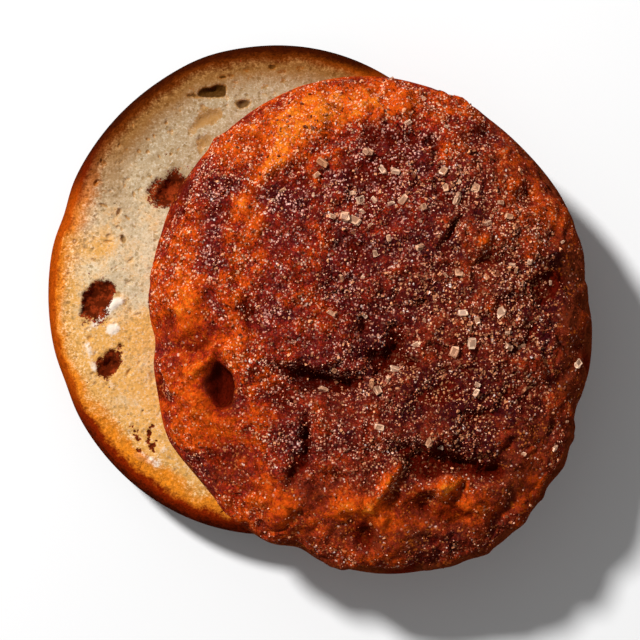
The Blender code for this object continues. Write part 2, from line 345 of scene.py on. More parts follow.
# White flour (+) and tan blotches (-) on the cut face: x, y, half length, half width, bearing, amount.
HEEL_FLOUR = (
    (-38.2, -5.6, 5.2, 1.1, 45.0, 0.8),
    (-35.6, -3.0, 2.4, 1.0, 10.0, 0.6),
    (-36.2, -8.8, 1.8, 1.4, 20.0, 1.0),
    (-41.6, -13.6, 0.9, 2.4, 15.0, 0.6),
    (-40.4, -17.6, 1.0, 1.6, 30.0, 0.5),
    (-36.6, -21.4, 1.4, 0.9, 120.0, 0.5),
    (-30.6, -37.4, 1.8, 1.2, -30.0, 0.6),
    (-27.4, -38.6, 2.6, 1.2, -25.0, 0.8),
    (-25.0, -36.0, 1.2, 0.9, 0.0, 0.5),
    (-14.3, 38.9, 2.6, 1.6, 10.0, -1.3),
    (-17.0, 37.3, 1.4, 1.2, 0.0, -0.9),
    (-15.2, 33.6, 1.7, 1.3, 70.0, -1.1),
)

# Coarse sugar crystals that lie singly on the crown: x, y.
CRYSTAL_SPOTS = (
    (2.6, 34.3), (5.4, 34.0), (15.7, 34.0), (16.3, 30.1), (22.7, 30.3), (18.7, 27.9), (28.2, 27.0),
    (-8.6, 24.0), (-5.9, 23.8), (-3.6, 22.9), (-3.9, 29.1), (-2.6, 27.3), (4.0, 26.4), (7.0, 27.1),
    (0.5, 27.3), (30.2, 24.1), (25.6, 22.4), (10.6, 16.9), (-6.3, 10.6), (19.0, 11.7), (19.9, 2.7),
    (-8.8, 2.7), (28.0, 3.1), (10.0, -4.1), (21.7, -3.9), (32.9, -4.8), (29.8, -4.3), (17.9, -5.6),
    (-10.6, 35.8), (-1.1, 38.1), (-7.9, -9.6), (22.6, -14.4), (12.6, -25.3), (15.2, -26.4),
    (-10.6, -14.4), (1.4, -14.0), (1.8, -21.8), (45.6, -8.2), (0.2, -12.4), (3.4, -11.6), (5.6, -9.8),
)

# Where the larger sugar lies thickest: x, y, half length, half width, bearing, amount.
SUGAR_DRIFTS = (
    (2.9, 32.5, 6.0, 4.0, 0.0, 1.6),
    (19.3, 32.0, 8.0, 5.0, -5.0, 1.8),
    (2.0, 12.0, 9.0, 7.0, 0.0, 0.8),
    (19.3, 8.0, 12.0, 11.0, 0.0, 0.7),
    (34.0, 14.0, 6.0, 12.0, 0.0, 0.9),
    (28.0, -4.0, 10.0, 8.0, 0.0, 0.9),
    (0.0, -14.0, 10.0, 3.0, 10.0, 1.4),
    (20.0, -24.0, 12.0, 5.0, 0.0, 0.6),
)

# How dark the crust is without the patches, and how much darker its flank is painted on the near right,
# as shade on the side that faces away from the key light.
BAKE_LEVEL = 0.36
FLANK_SHADE = 0.50

# Widths of the crust's lumps, wrinkles, furrows and furrowed stretches, and of the grain of its coat.
LUMP_WIDTH = 8.0
WRINKLE_WIDTH = 5.0
FURROW_WIDTH = 8.0
FURROWED_WIDTH = 15.0
COAT_GRAIN_WIDTH = 1.15

# How far noise moves the places of the named relief and of the lumps, and how wide that noise is.
RELIEF_DRIFT = 1.3
RELIEF_DRIFT_WIDTH = 5.5
LUMP_DRIFT = 2.2
LUMP_DRIFT_WIDTH = 6.0

# Widths in the crust's finish: grain, blotches, cells of the coat, drifts of sugar and plates of sugar.
CRUST_GRAIN = 0.55
CRUST_BLOTCH = 2.6
CRUST_CELL = 0.42
CRUST_DRIFT = 3.6
CRUST_PLATE = 0.78

# Widths in the crumb's finish: grain, flecks and clouds, large and small pricks.
CRUMB_FINE = 0.45
CRUMB_FLECK = 1.3
CRUMB_CLOUD = 4.5
LARGE_PRICK = 1.3
SMALL_PRICK = 0.6

# The cut face: widths of its waves and grain, where its grid is closest, and the crescent left bare.
WAVE_WIDTH = 11.0
CRUMB_GRAIN_WIDTH = 0.9
GRID_LEAN = 0.34
GRID_LEAN_BEARING = 160.0
STAINED_FROM = 0.8
CRESCENT = (60.0, 265.0)
CRESCENT_REACH = 50.0
PORE_SEED = 7

# The sugar: seed of its random places, how a grain's sizes vary, how far it tilts and how uneven it is.
SUGAR_SEED = 11
GRAIN_SCALE = (0.45, 1.30)
SINGLE_SCALE = (0.75, 1.2)
STREWN_SCALE = (0.40, 0.80)
GRAIN_TILT = 0.6
GRAIN_UNEVEN = 0.38
CRYSTAL_TILT = 0.35
CRYSTAL_UNEVEN = 0.32
CRYSTAL_WIDTH = (0.45, 0.85)
CRYSTAL_HEIGHT = (0.30, 0.55)
CRYSTAL_CLEARNESS = 0.60

# The stage, in metres and degrees: camera above the cut face, lamps, and the floor in millimetres.
CAMERA_HEIGHT = 0.700
CAMERA_FROM_HEEL = (10.44, -6.81)
LENS = 175.0
SENSOR = 36.0
LAMP_DISTANCE = 1.6
KEY_SIZE = 0.22
FRONT_SIZE = 0.9
FRONT_SHARE = 0.03
FRONT_BEARING = -60.0
FRONT_HEIGHT = 30.0
FLOOR_REACH = 2000.0


# ---------------------------------------------------------------- sizes and colours


def length(name, description, default):
    """A length that is given in millimetres"""
    return bpy.props.FloatProperty(name=name, description=description, default=default * MM, unit="LENGTH")


def colour(name, description, default):
    return bpy.props.FloatVectorProperty(
        name=name, description=description, default=default, size=3, subtype="COLOR", min=0.0, max=1.0
    )


def amount(name, description, default):
    return bpy.props.FloatProperty(name=name, description=description, default=default, min=0.0)


def count(name, description, default):
    return bpy.props.IntProperty(name=name, description=description, default=default, min=1)


class CrownSettings(bpy.types.PropertyGroup):
    """Sizes and colours of the upper half"""

    rise: length("Rise", "Height of the dome above its girth", 17.2)
    lump: length("Lumps", "Height of the lumps of the crust", 1.30)
    wrinkle: length("Wrinkles", "Height of the wrinkles between the lumps", 0.95)
    furrow: length("Furrows", "Depth of the furrows between the lumps", 0.90)
    coat: length("Coat", "Height of the grain of the sugar coat", 0.24)
    cells: count("Cells", "Cells along each side of the dome's grid", 284)
    golden: colour("Golden crust", "Bare crust on the palest crests", (0.82, 0.19, 0.012))
    orange: colour("Orange crust", "Where the crust shows bare", (0.51, 0.059, 0.0036))
    sugared: colour("Sugared grain", "The palest grains on orange crust", (1.0, 0.50, 0.26))
    russet: colour("Russet crust", "Between bare crust and coat", (0.31, 0.0215, 0.0052))
    chestnut: colour("Chestnut crust", "Between bare crust and coat at the right", (0.265, 0.0265, 0.0066))
    mahogany: colour("Mahogany coat", "The cinnamon sugar coat", (0.152, 0.0115, 0.0098))
    charred: colour("Charred coat", "The darkest of the coat", (0.033, 0.0044, 0.0064))
    # Painted glint: near-white colour laid on a few sugar cells in place of glints of light.
    painted_glint: colour("Glassy grain", "Grains that glint", (1.0, 0.82, 0.74))
    umber: colour("Umber coat", "The coat of the right side", (0.160, 0.0175, 0.0080))
    tan: colour("Tan grain", "The palest grains of the right side's coat", (0.94, 0.40, 0.17))
    # Painted shade: the colour laid into the hollows and the gaps between grains, darkest in the deepest.
    hollow: colour("Hollow", "The glaze in the hollows", (0.095, 0.0045, 0.0010))
    dusted: colour("Dusted grain", "The palest grains of the coat", (1.0, 0.49, 0.40))
    # The bare flank's brown, made darker as painted shade for the near-right flank away from the key light.
    flank: colour("Flank", "The bare brown flank", (0.122, 0.0200, 0.0058))


class HeelSettings(bpy.types.PropertyGroup):
    """Sizes and colours of the lower half"""

    crumb_grain: length("Crumb grain", "Height of the grain of the cut crumb", 0.05)
    wave: length("Wave", "Height of the waves that the knife left", 0.22)
    cells: count("Cells", "Cells along each side of the cut face's grid", 270)
    pores: count("Fine pores", "Number of fine pores in the cut face", 900)
    crumb: colour("Crumb", "Untoasted crumb", (0.69, 0.55, 0.355))
    # The crumb is laid darker and greyer towards the far side.
    shade: colour("Shade", "The untoasted crumb of the far side", (0.44, 0.325, 0.19))
    fleck: colour("Pale fleck", "The palest flecks of the crumb", (0.84, 0.74, 0.60))
    toast: colour("Toast", "Toasted crumb", (0.72, 0.36, 0.088))
    flour: colour("Flour", "Flour on the cut face", (0.86, 0.77, 0.66))
    # Painted shade: colours laid into holes, pricks, pores and between fibres; shallow also tints blotches.
    hole: colour("Small hole", "The small holes and shallow pores", (0.29, 0.175, 0.062))
    shallow: colour("Shallow pore", "The shallow pores", (0.46, 0.24, 0.075))
    pore: colour("Pore", "The deepest pores", (0.058, 0.020, 0.0025))
    # Multiplies the crumb darker near the edge, except on the near left: partly browning, partly painted
    # shade.
    tan: colour("Tan", "What browns the crumb of the far side", (0.58, 0.34, 0.15))
    amber: colour("Amber", "Browned crumb of the near side", (0.82, 0.245, 0.012))
    rust: colour("Rust", "Browned crumb inside burnt crust", (0.130, 0.024, 0.002))
    orange: colour("Orange", "Browned crumb inside pale crust", (0.60, 0.115, 0.005))
    crust: colour("Crust", "The crust of the side and base", (0.36, 0.052, 0.002))
    seared: colour("Seared crust", "The dark crust of the near side", (0.20, 0.014, 0.001))
    burnt: colour("Burnt crust", "The dark crust of the far side", (0.036, 0.0045, 0.0005))
    charred: colour("Charred edge", "The outermost edge of dark crust", (0.024, 0.005, 0.002))
    stain: colour("Cinnamon", "Cinnamon in the pockets", (0.25, 0.030, 0.006))


class SugarSettings(bpy.types.PropertyGroup):
    """Sizes, numbers and colours of the sugar"""

    fine: length("Fine grain", "Half the length of a fine grain", 0.21)
    medium: length("Medium grain", "Half the length of a medium grain", 0.24)
    coarse: length("Coarse crystal", "Half the length of a coarse crystal", 0.92)
    fine_count: count("Brown grains", "Number of brown fine grains", 4000)
    light_count: count("Light grains", "Number of light fine grains", 6000)
    medium_count: count("Medium grains", "Number of medium grains", 1500)
    coarse_count: count("Coarse crystals", "Number of coarse crystals strewn beside the single ones", 36)
    brown: colour("Brown sugar", "The darkest grains", (0.075, 0.008, 0.004))
    umber: colour("Umber sugar", "The darkest of the medium grains", (0.14, 0.018, 0.005))
    amber: colour("Amber sugar", "The grains between brown and cream", (0.52, 0.115, 0.045))
    cream: colour("Cream sugar", "The lightest of the fine grains", (1.0, 0.56, 0.38))
    pale: colour("Pale sugar", "The lightest of the medium grains", (0.92, 0.40, 0.19))
    clear: colour("Clear sugar", "The lightest of the coarse crystals", (1.0, 0.68, 0.47))


class StageSettings(bpy.types.PropertyGroup):
    """Light and floor"""

    floor: colour("Floor", "The floor", (0.86, 0.86, 0.86))
    key: amount("Key light", "Power of the key light in watts", 33.0)
    key_bearing: amount("Key bearing", "Bearing of the key light in degrees", 135.0)
    key_height: amount("Key height", "Height of the key light above the floor in degrees", 47.0)
    fill: amount("Fill", "Brightness of the surroundings", 0.21)


# ---------------------------------------------------------------- numbers


def hashed(cells, salt):
    """A number from 0 to 1 for each lattice cell: its whole numbers are multiplied, added and folded."""
    primes = np.array((73856093, 19349663, 83492791), np.int64)[: cells.shape[-1]]
    mixed = ((cells * primes).sum(-1) + salt * 2654435761) & 0xFFFFFFFF
    for factor in (0x45D9F3B, 0x119DE1F3):
        mixed = ((mixed ^ (mixed >> 16)) * factor) & 0xFFFFFFFF
    return (mixed ^ (mixed >> 16)) / 0xFFFFFFFF


def noise(points, cell, salt):
    """From -1 to 1: lattice numbers a cell apart, blended smoothly along each axis."""
    scaled = points / cell
    base = np.floor(scaled).astype(np.int64)
    part = scaled - base
    part = part * part * part * (part * (part * 6.0 - 15.0) + 10.0)
    total = np.zeros(points.shape[:-1])
    for corner in np.ndindex(*(2,) * points.shape[-1]):
        weight = np.prod(np.where(corner, part, 1.0 - part), axis=-1)
        total += weight * hashed(base + np.array(corner), salt)
    return total * 2.0 - 1.0


def rough(points, cell, octaves, salt, gain=0.5):
    """Noise with finer noise on it: each octave has half the cell and `gain` times the height."""
    total = np.zeros(points.shape[:-1])
    height = 1.0
    for octave in range(octaves):
        total += height * noise(points, cell / 2.0**octave, salt + octave)
        height *= gain
    return total


def ridges(points, cell, octaves, salt):
    """From 0 to 1, 1 on lines: one less the size of noise, squared."""
    return (1.0 - np.abs(rough(points, cell, octaves, salt))).clip(0.0, 1.0) ** 2


def smooth_step(low, high, value):
    """0 below low, 1 above high and an even S between them."""
    share = ((value - low) / (high - low)).clip(0.0, 1.0)
    return share * share * (3.0 - 2.0 * share)


def oval(x, y, centre_x, centre_y, half_length, half_width, bearing):
    """How far a place is from an oval's middle, as a share of the oval's size."""
    turn = math.radians(bearing)
    along = (x - centre_x) * math.cos(turn) + (y - centre_y) * math.sin(turn)
    across = (y - centre_y) * math.cos(turn) - (x - centre_x) * math.sin(turn)
    return np.hypot(along / half_length, across / half_width)


def bells(x, y, features):
    """Sum of oval bells: height times e to the minus share, squared and raised to the steepness."""
    total = np.zeros(np.shape(x))
    for feature in features:
        steepness = feature[6] if len(feature) > 6 else 1.0
        total += feature[5] * np.exp(-(oval(x, y, *feature[:5]) ** (2.0 * steepness)))
    return total


def turn_between(bearing, reference):
    """The angle from one bearing to another, within half a turn either way."""
    return (bearing - reference + 180.0) % 360.0 - 180.0


def outline_radius(bearing, outline):
    """Radius of an ellipse at a bearing, with its lobes added as bells of the bearing."""
    half_length, half_width, lie, lobes = outline
    turned = np.radians(bearing - lie)
    radius = half_length * half_width / np.hypot(half_width * np.cos(turned), half_length * np.sin(turned))
    for at, push, spread in lobes:
        radius = radius + push * np.exp(-((turn_between(bearing, at) / spread) ** 2))
    return radius


def middle_of(node, outline):
    """Where the middle of a half lies in the frame, in millimetres, from the low corner of its solid."""
    bearing = np.linspace(-180.0, 180.0, 1441)
    radius = outline_radius(bearing, outline)
    low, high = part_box(node)
    left = (radius * np.cos(np.radians(bearing))).min()
    near = (radius * np.sin(np.radians(bearing))).min()
    return np.array((low.x / MM - left, low.y / MM - near, low.z / MM))


# ---------------------------------------------------------------- meshes


def disc_grid(cells, lean=0.0):
    """A square grid bent into the unit disc, as complex places that then lean to one side.

    The lean is (place + lean) / (1 + mirrored lean times place). It keeps the disc's edge and sets the cells
    closer together on the side that it points to.
    """
    line = np.linspace(-1.0, 1.0, cells + 1)
    x, y = np.meshgrid(line, line)
    wide = np.abs(x) >= np.abs(y)
    reach = np.where(wide, x, y)
    safe = np.where(reach == 0.0, 1.0, reach)
    turn = np.where(wide, np.pi / 4.0 * y / safe, np.pi / 2.0 - np.pi / 4.0 * x / safe)
    place = reach * np.exp(1j * turn)
    return (place + lean) / (1.0 + np.conj(lean) * place)


def grid_normals(points):
    """Unit normals of a grid of points: the cross product of its two directions."""
    normals = np.cross(np.gradient(points, axis=1), np.gradient(points, axis=0))
    return normals / np.linalg.norm(normals, axis=-1, keepdims=True)


def grid_quads(side):
    """Corner numbers of a square grid's cells, counter-clockwise from above."""
    corner = np.arange(side * side).reshape(side, side)[:-1, :-1].ravel()
    return np.stack((corner, corner + 1, corner + side + 1, corner + side), axis=1)


def grid_border(side):
    """Numbers of a square grid's edge points, counter-clockwise from above."""
    numbers = np.arange(side * side).reshape(side, side)
    return np.concatenate((numbers[0, :-1], numbers[:-1, -1], numbers[-1, :0:-1], numbers[:0:-1, 0]))


def smoothed(values):
    """Values round a closed edge, each replaced by the mean of its neighbours within a short way."""
    window = EDGE_WINDOW // 2
    joined = np.concatenate((values[-window:], values, values[:window]))
    return np.convolve(joined, np.ones(EDGE_WINDOW) / EDGE_WINDOW, mode="valid")


def closed_below(sheet, section):
    """Points and faces of a body: the sheet, rings below its edge and one flat face that closes the last.

    Each ring is the sheet's edge scaled in plan and set to a height, as the section says.
    """
    side = len(sheet)
    border = grid_border(side)
    rim = sheet.reshape(-1, 3)[border]
    scale, height = np.array(section).T[..., None]
    rings = np.stack(np.broadcast_arrays(rim[:, 0] * scale, rim[:, 1] * scale, height), -1)
    points = np.concatenate((sheet.reshape(-1, 3), rings.reshape(-1, 3)))
    below = side * side + np.arange(rings[..., 0].size).reshape(len(section), -1)
    loops = np.concatenate((border[None], below))
    onward = np.roll(loops, -1, axis=1)
    strips = np.stack((loops[:-1], loops[1:], onward[1:], onward[:-1]), -1)
    return points, np.concatenate((grid_quads(side), strips.reshape(-1, 4))), loops[-1][::-1]


def make_mesh(name, points, faces, cap=(), smooth=True):
    """A mesh of faces that all have as many corners, with one more face if a cap is given."""
    corners = np.concatenate((faces.ravel(), np.asarray(cap, int)))
    starts = np.arange(len(faces)) * faces.shape[1]
    if len(cap):
        starts = np.append(starts, faces.size)
    mesh = bpy.data.meshes.new(name)
    mesh.vertices.add(len(points))
    mesh.vertices.foreach_set("co", (points * MM).astype(np.float32).ravel())
    mesh.loops.add(len(corners))
    mesh.loops.foreach_set("vertex_index", corners.astype(np.int32))
    mesh.polygons.add(len(starts))
    mesh.polygons.foreach_set("loop_start", starts.astype(np.int32))
    mesh.polygons.foreach_set("use_smooth", np.full(len(starts), smooth))
    mesh.update(calc_edges=True)
    return mesh


def set_values(mesh, name, values):
    """Gives each point of a mesh its number, for the finish to read."""
    mesh.attributes.new(name, "FLOAT", "POINT").data.foreach_set("value", values.astype(np.float32).ravel())


def make_piece(mesh, material, node=None):
    """Links a piece, gives it its material, hangs it on its body and hides the solid that it stands for."""
    piece = bpy.data.objects.new(mesh.name, mesh)
    bpy.context.scene.collection.objects.link(piece)
    mesh.materials.append(material)
    if node:
        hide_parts(node)
    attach(piece, BODY)


# ---------------------------------------------------------------- materials


def arithmetic(operation, swapped=False):
    """An operator of Value that adds a Math node, with its sides swapped for a reflected operator."""

    def operate(self, other):
        sides = (other, self) if swapped else (self, other)
        return self.finish.number("ShaderNodeMath", {"operation": operation}, {0: sides[0], 1: sides[1]})

    return operate


class Value:
    """A number in a material: sums, differences and products of it add Math nodes."""

    __add__ = arithmetic("ADD")
    __radd__ = arithmetic("ADD", True)
    __sub__ = arithmetic("SUBTRACT")
    __rsub__ = arithmetic("SUBTRACT", True)
    __mul__ = arithmetic("MULTIPLY")
    __rmul__ = arithmetic("MULTIPLY", True)

    def __init__(self, finish, socket):
        self.finish = finish
        self.socket = socket

    def rises(self, low, high):
        """0 below low, 1 above high and an even S between them; falls if low is above high."""
        settings = {"interpolation_type": "SMOOTHSTEP"}
        return self.finish.number("ShaderNodeMapRange", settings, {0: self, 1: low, 2: high, 3: 0.0, 4: 1.0})


class Finish:
    """A material that is built from expressions on values and colours."""

    def __init__(self, name):
        self.material = bpy.data.materials.new(name)
        self.material.use_nodes = True
        self.tree = self.material.node_tree
        self.shader = self.tree.nodes["Principled BSDF"]
        self.place = self.node("ShaderNodeTexCoord").outputs["Object"]

    def node(self, kind, settings=None, sockets=None):
        """Adds a node, sets it, then gives its sockets values or links."""
        made = self.tree.nodes.new(kind)
        for name, value in (settings or {}).items():
            setattr(made, name, value)
        for name, value in (sockets or {}).items():
            self.join(value, made.inputs[name])
        return made

    def join(self, value, socket):
        source = value.socket if isinstance(value, Value) else value
        if isinstance(source, bpy.types.NodeSocket):
            self.tree.links.new(source, socket)
        elif socket.type == "RGBA" and len(source) == 3:
            socket.default_value = (*source, 1.0)
        else:
            socket.default_value = source

    def number(self, kind, settings=None, sockets=None, output=0):
        return Value(self, self.node(kind, settings, sockets).outputs[output])

    def attribute(self, name):
        return self.number("ShaderNodeAttribute", {"attribute_name": name}, output="Fac")

    def noise(self, size, detail=2.0, roughness=0.5):
        """Noise from 0 to 1 whose blobs are `size` millimetres wide."""
        scale = 1.0 / (size * MM)
        sockets = {"Vector": self.place, "Scale": scale, "Detail": detail, "Roughness": roughness}
        return self.number("ShaderNodeTexNoise", None, sockets)

    def cells(self, size):
        """Cells round points strewn `size` millimetres apart: three numbers of each cell's own, how far away
        its point is as a share of the size, and the socket of the cell's colour."""
        cells = self.node("ShaderNodeTexVoronoi", None, {"Vector": self.place, "Scale": 1.0 / (size * MM)})
        colour = cells.outputs["Color"]
        split = self.node("ShaderNodeSeparateColor", None, {"Color": colour})
        own = [Value(self, output) for output in split.outputs]
        return own, Value(self, cells.outputs["Distance"]), colour

    def pricks(self, size, wander, girth):
        """1 in small holes, 0 between them: each cell's middle, as large as its own share of the girth."""
        own, away, _ = self.cells(size)
        return (away + (wander - 0.5) * 0.6 - own[0] * girth).rises(0.04, -0.14)

    def specks(self, size, least, girth, wander):
        """1 in the middle of those cells whose own number is above `least`, 0 between them."""
        own, away, _ = self.cells(size)
        away = away + (wander - 0.5) * 0.5
        return own[0].rises(least, least + 0.04) * away.rises(girth + 0.05, girth - 0.05)

    def mix(self, share, first, second, blend="MIX"):
        """The first colour where the share is 0 and the second where it is 1."""
        sockets = {0: share, 6: first, 7: second}
        return self.node("ShaderNodeMix", {"data_type": "RGBA", "blend_type": blend}, sockets).outputs[2]

    def layers(self, tone, *coats):
        """A colour with others laid over it in turn, each as far as the share given with it."""
        for share, coat in coats:
            tone = self.mix(share, tone, coat)
        return tone

    def bump(self, height, depth):
        """A normal from a height from 0 to 1 that stands for `depth` millimetres."""
        sockets = {"Height": height, "Distance": depth * MM, "Strength": 1.0}
        return self.node("ShaderNodeBump", None, sockets).outputs[0]

    def faceted(self, normal, slant, tilt):
        """The normal, turned aside by a slant from 0 to 1 along each axis, as far as the tilt says."""
        aside = self.vector("ADD", {0: slant, 1: (-0.5, -0.5, -0.5)})
        scaled = self.vector("SCALE", {0: aside, "Scale": tilt})
        return self.vector("NORMALIZE", {0: self.vector("ADD", {0: normal, 1: scaled})})

    def vector(self, operation, sockets):
        return self.node("ShaderNodeVectorMath", {"operation": operation}, sockets).outputs[0]

    def finish(self, **sockets):
        """The material, with the shader's sockets set or linked."""
        for name, value in sockets.items():
            self.join(value, self.shader.inputs[name.replace("_", " ")])
        return self.material


def deepened(colour, share):
    """A colour times a share."""
    return [share * part for part in colour]


def crown_crust(settings):
    """Sugared crust: from golden through orange, russet and mahogany to charred, and grainy where coated.

    Each grain is a cell round its own point, with a brightness and a slant of its own; the palest are sugar.
    Hollows and the gaps between grains are laid darker as painted shade, and a few sugar cells are laid
    near white as painted glints.
    """
    crust = Finish("sugared_crust")
    bake_and_shading, coat, sunk, brown = map(crust.attribute, ("bake_and_shading", "coat", "sunk", "brown"))
    grain = crust.noise(CRUST_GRAIN, 3.0, 0.7)
    blotch = crust.noise(CRUST_BLOTCH, 4.0, 0.65)
    (own, other, third), away, slant = crust.cells(CRUST_CELL)
    depth = bake_and_shading + (grain - 0.5) + (blotch - 0.5) * 1.55 + (other - 0.5) * 0.22
    bare = (1.0 - coat).rises(0.35, 0.85)
    tone = crust.layers(
        settings.golden,
        (depth.rises(-0.36, -0.02), settings.orange),
        (depth.rises(0.12, 0.44), crust.mix(brown, settings.russet, settings.chestnut)),
        (depth.rises(0.40, 0.70), crust.mix(brown, settings.mahogany, settings.umber)),
        (depth.rises(0.64, 1.0), settings.charred),
        # The bare flank's own brown, deepened to painted shade on the near right, away from the key light.
        (bare * bake_and_shading.rises(0.3, 0.6), settings.flank),
        # Painted shade: the hollows are laid darker, the deepest darkest of all.
        (sunk.rises(0.05, 0.55) * 0.8, settings.hollow),
        (sunk.rises(0.45, 1.0) * 0.8, deepened(settings.hollow, 0.45)),
    )
    uneven = (coat * 0.5 + 0.5) * (depth.rises(-0.3, 0.3) * 0.5 + 0.5)
    tone = crust.mix(uneven, tone, other * 1.3 + 0.30, "MULTIPLY")
    drifts = crust.noise(CRUST_DRIFT, 4.0, 0.6).rises(0.43, 0.58) * 0.92 + 0.08
    sugared = coat * drifts * (1.0 - sunk.rises(0.3, 0.9) * 0.8)
    sugar = crust.layers(
        settings.sugared,
        (bake_and_shading.rises(0.2, 0.8), crust.mix(brown, settings.dusted, settings.tan)),
        (coat.rises(0.85, 0.35), settings.golden),
    )
    plates = crust.specks(CRUST_PLATE, 0.84, 0.30, grain)
    pick = (own + depth.rises(0.1, 0.6) * 0.055).rises(0.855, 0.92)
    # Painted glints: a few sugar cells laid near white, fewer in hollows and on the orange crust.
    glint = own.rises(0.90, 0.95) * coat * (1.0 - sunk.rises(0.1, 0.5)) * (bake_and_shading.rises(0.1, 0.5) * 0.7 + 0.3)
    # Painted shade in the gaps between the grains.
    gap = away.rises(0.36, 0.60) * (coat * 0.8 + 0.1) * (depth.rises(0.0, 0.5) * 0.45 + 0.30)
    tone = crust.layers(
        tone,
        ((pick + plates) * sugared * 0.95, sugar),
        (glint * third.rises(0.5, 0.9) * drifts, settings.painted_glint),
        (gap, deepened(settings.hollow, 0.6)),
    )
    relief = grain * 0.4 + away.rises(0.60, 0.05) * 0.6
    level = 1.0 - own.rises(0.82, 0.88) * 0.75
    raised = crust.bump(relief * (coat * 0.8 + 0.2), 0.14)
    normal = crust.faceted(raised, slant, (coat * 0.75 + 0.05) * level)
    return crust.finish(
        Base_Color=tone,
        Roughness=0.11 + third * 0.04 + (1.0 - coat) * 0.80,
        Normal=normal,
        Specular_IOR_Level=0.0,
    )


def heel_bread(settings):
    """Crumb, toasted towards the near side, with pores and cinnamon, browned in steps out to the crust."""
    bread = Finish("crumb_and_crust")
    names = ("toast", "inset", "burn", "glow", "stain", "pore", "flour")
    toast, inset, burn, glow, stain, pore, flour = map(bread.attribute, names)
    fine = bread.noise(CRUMB_FINE, 3.0, 0.65)
    fleck = bread.noise(CRUMB_FLECK, 3.0, 0.6)
    cloud = bread.noise(CRUMB_CLOUD, 3.0, 0.6)
    large = bread.pricks(LARGE_PRICK, fine, 0.42)
    small = bread.pricks(SMALL_PRICK, fleck, 0.62)
    heat = toast + (cloud - 0.5) * 0.95 + (fleck - 0.5) * 0.6
    ragged = (pore + (fleck - 0.5) * 0.3).rises(0.06, 0.40) * pore.rises(0.0, 0.10) * 0.9
    weave = fine * 0.65 + fleck * 0.35
    floured = flour + (fleck - 0.5) * 0.9 + (fine - 0.5) * 0.3
    # Painted shade: holes, pricks and the gaps between fibres are laid darker; shallow pores too.
    tone = bread.layers(
        settings.shade,
        (toast.rises(0.0, 0.55), settings.crumb),
        (heat.rises(0.20, 0.76), settings.toast),
        (ragged, settings.shallow),
        (weave.rises(0.49, 0.64) * 0.42, settings.fleck),
        (weave.rises(0.49, 0.38) * 0.22, settings.hole),
        (small * 0.36, settings.hole),
        (large * (0.62 - heat * 0.25), settings.hole),
        (floured.rises(0.22, 0.70) * 0.78, settings.flour),
        (floured.rises(-0.30, -0.65) * 0.75, deepened(settings.shallow, 0.8)),
    )
    way_in = inset + (fleck - 0.5) * 0.40 + (cloud - 0.5) * 0.45 + (fine - 0.5) * 0.30
    # The crumb darkens towards the edge except on the near left: partly browning, partly painted shade.
    tone = bread.mix((1.0 - glow) * way_in.rises(2.30, 0.90), tone, settings.tan, "MULTIPLY")
    embers = (way_in - burn * 0.2 + (cloud - 0.5) * 0.5).rises(0.70, 0.34)
    scorch = (burn + (fleck - 0.5) * 0.5 + (cloud - 0.5) * 0.4).rises(0.20, 0.70)
    crust = bread.mix(scorch, settings.crust, bread.mix(glow, settings.burnt, settings.seared))
    way_out = inset + (fleck - 0.5) * 0.22 + (fine - 0.5) * 0.16 + (cloud - 0.5) * 0.30
    crusted = bread.mix(glow, way_out.rises(0.66, 0.22), (way_out - burn * 0.06).rises(0.46, 0.22))
    tone = bread.layers(
        tone,
        (glow * embers * (0.7 + fleck * 0.5), settings.amber),
        (way_in.rises(0.94, 0.50) * (1.0 - glow * 0.8), bread.mix(burn, settings.orange, settings.rust)),
        (crusted, crust),
        (way_out.rises(0.26, 0.0) * (0.2 + burn * 0.7), settings.charred),
    )
    streaks = weave.rises(0.36, 0.64) * 0.8 + 0.55
    tone = bread.mix(inset.rises(1.1, 0.6) * 0.7, tone, streaks, "MULTIPLY")
    cinnamon = (stain + (fine - 0.5) * 1.6).rises(0.36, 0.62) * stain.rises(0.02, 0.2)
    # Cinnamon laid darker in patches of noise: partly its own tone, partly painted shade in the pockets.
    lit = (cloud * 0.2 + fleck * 0.5 + fine * 0.3).rises(0.46, 0.60)
    # Painted shade: the deepest pores are laid nearly black.
    tone = bread.layers(
        tone,
        (pore.rises(0.45, 1.0) * (0.7 + fine * 0.5), settings.pore),
        (cinnamon, bread.mix(lit, deepened(settings.stain, 0.32), settings.stain)),
    )
    return bread.finish(
        Base_Color=tone,
        Roughness=0.85,
        Normal=bread.bump(fine * 0.4 + fleck * 0.3 + (1.0 - large) * 0.3, 0.15),
        Specular_IOR_Level=0.0,
    )


def sugar_finish(name, dark, light, clearness=0.0):
    """Sugar: each grain lies between two colours by its own tone, and is clearer away from its edges."""
    sugar = Finish(name)
    return sugar.finish(
        Base_Color=sugar.mix(sugar.attribute("tone"), dark, light),
        Alpha=1.0 - sugar.attribute("inner").rises(0.0, 1.0) * clearness if clearness else 1.0,
        Roughness=0.22,
        IOR=1.54,
        Specular_IOR_Level=0.10,
    )


def plain_finish(name, tone, roughness):
    """A matt floor with faint clouds in it."""
    floor = Finish(name)
    cloth = floor.mix(floor.noise(40.0), tone, deepened(tone, 0.985))
    return floor.finish(Base_Color=cloth, Roughness=roughness)


# ---------------------------------------------------------------- bread


